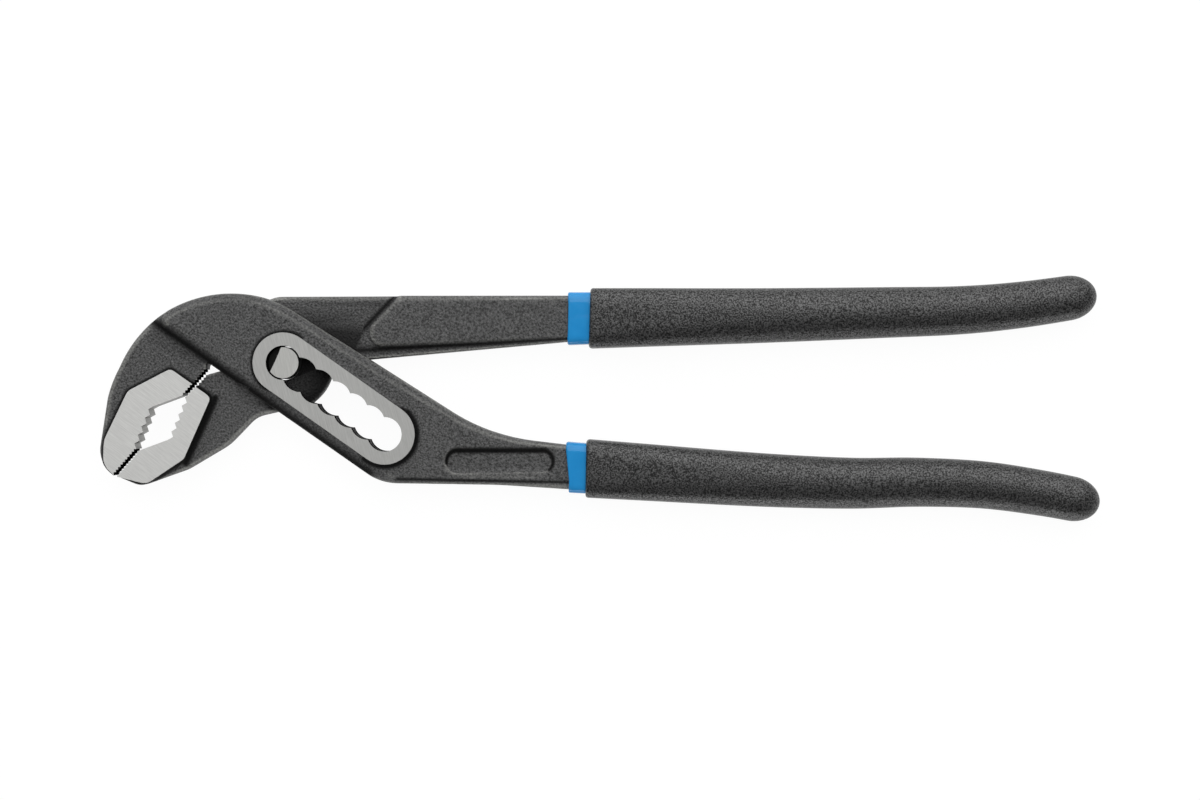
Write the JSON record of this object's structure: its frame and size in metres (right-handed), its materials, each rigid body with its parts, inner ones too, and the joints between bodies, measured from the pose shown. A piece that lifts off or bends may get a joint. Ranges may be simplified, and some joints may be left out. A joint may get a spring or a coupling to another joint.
{
  "type": "adjustable pliers",
  "caption": "Adjustable box-joint pliers with toothed angled jaws, a pin that shifts along a scalloped slot, and long handles in soft sleeves.",
  "frame": {"origin": "on the pin's axis, at the pin's rear face, which is level with the surface the tool lies on", "axes": "+X along the handles, +Z along the pin, square to the flat of the tool"},
  "size_m": [0.3003, 0.0738, 0.013],
  "materials": {
    "forged_black": "forged steel with a black phosphate skin, ground bright on the lands and jaw faces",
    "ground_steel": "ground steel",
    "blue_dip": "glossy dipped plastic",
    "black_foam": "matt foamed plastic with a fine grain"
  },
  "bodies": {
    "outer": {"outer_lever": "forged_black", "lower_base_dip": "blue_dip", "lower_grip": "black_foam"},
    "pin": {"joint_pin": "ground_steel"},
    "inner": {"inner_lever": "forged_black", "upper_base_dip": "blue_dip", "upper_grip": "black_foam"}
  },
  "joints": [
    {"name": "pin_slide", "type": "slide", "parent": "outer", "child": "pin", "axis": [0.8171, -0.5764, 0], "range_m": [0, 0.03708]},
    {"name": "lever_hinge", "type": "hinge", "parent": "pin", "child": "inner", "pos_m": [0, 0, 0], "axis": [0, 0, 1], "range_deg": [-0.7, 79]}
  ]
}
